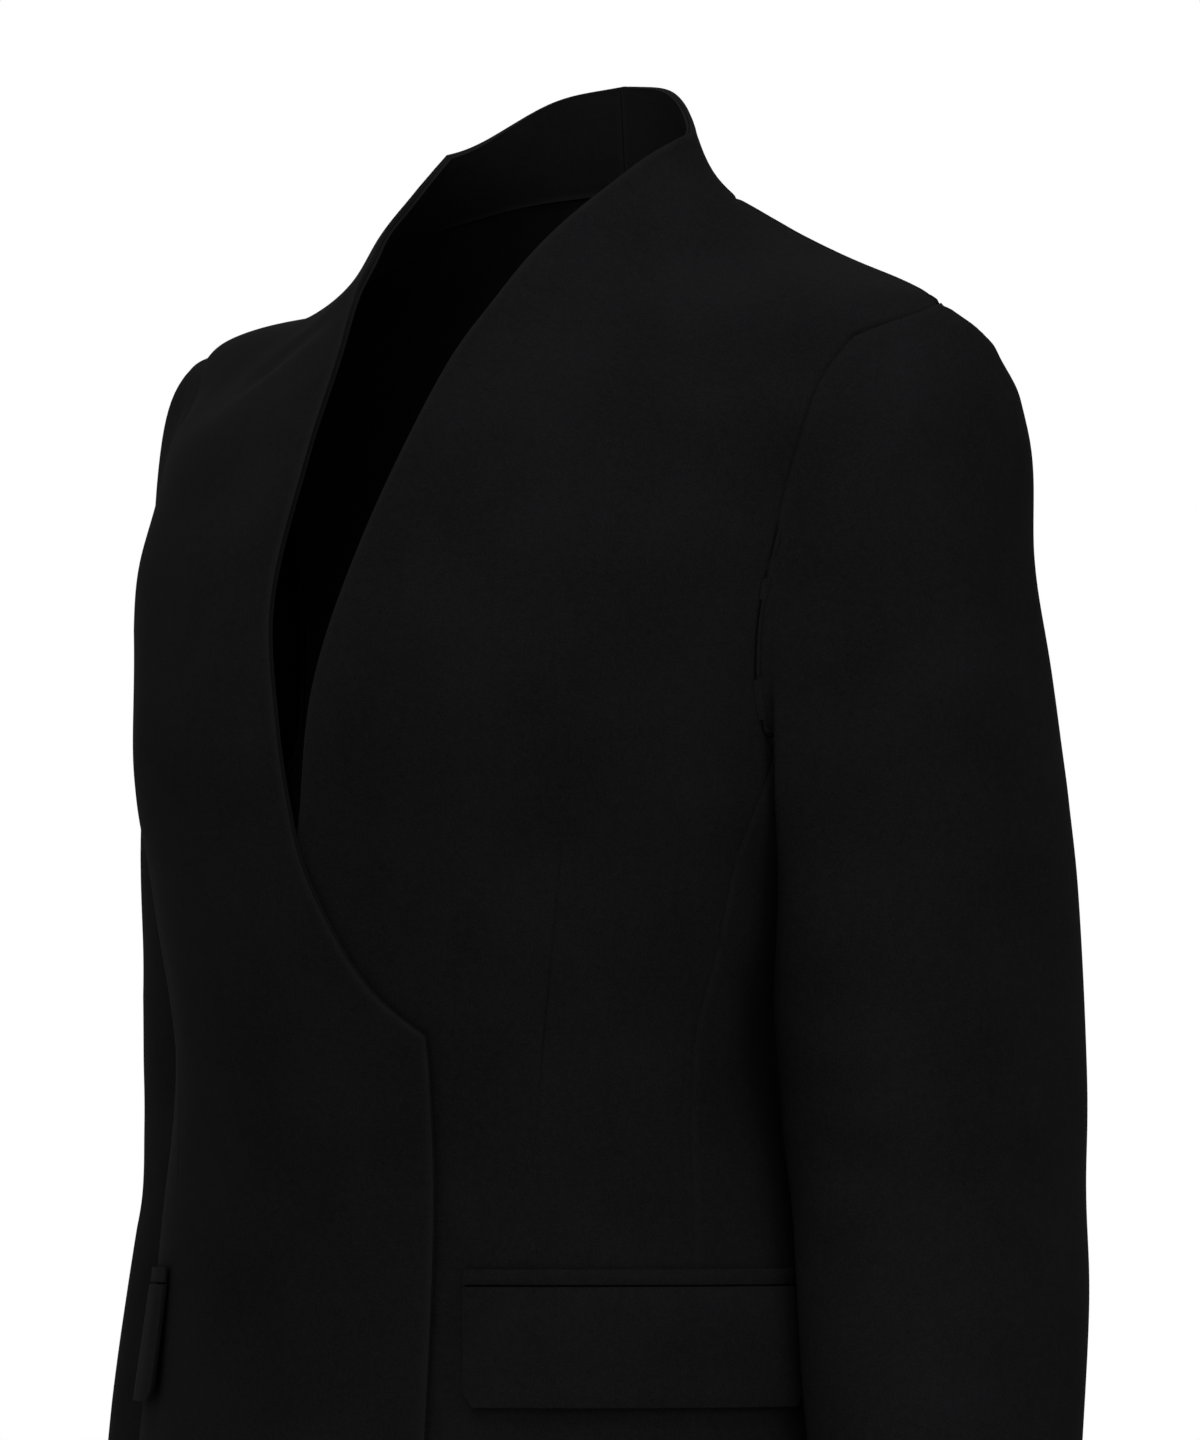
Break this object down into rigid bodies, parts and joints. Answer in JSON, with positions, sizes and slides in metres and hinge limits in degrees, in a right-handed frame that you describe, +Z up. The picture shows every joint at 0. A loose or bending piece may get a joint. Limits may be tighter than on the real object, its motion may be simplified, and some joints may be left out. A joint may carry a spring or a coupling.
{
  "type": "blazer",
  "caption": "Collarless wrap-front blazer with a stand neck, a curved front edge, darted waist, two flap pockets and long two-piece sleeves, shaped as worn.",
  "frame": {"origin": "where the worn jacket is held: midway between the shoulders, level with the neck ends of the shoulder seams", "axes": "+X to the wearer's left, -Y the way the front faces, +Z up"},
  "size_m": [0.4972, 0.2675, 0.7081],
  "materials": {
    "black_crepe": "matte black woven crepe, very dark and slightly cool, with a fine dry surface",
    "black_facing": "the same matte black crepe, used as the facing inside the front edge and the neck"
  },
  "bodies": {
    "root": {"front_left": "black_crepe", "front_right": "black_crepe", "side_left": "black_crepe", "side_right": "black_crepe", "back_left": "black_crepe", "back_right": "black_crepe", "sleeve_top_left": "black_crepe", "sleeve_top_right": "black_crepe", "sleeve_under_left": "black_crepe", "sleeve_under_right": "black_crepe", "facing_left": "black_facing", "facing_right": "black_facing", "flap_left": "black_crepe", "flap_right": "black_crepe", "jet_left": "black_crepe", "jet_right": "black_crepe"}
  },
  "joints": []
}
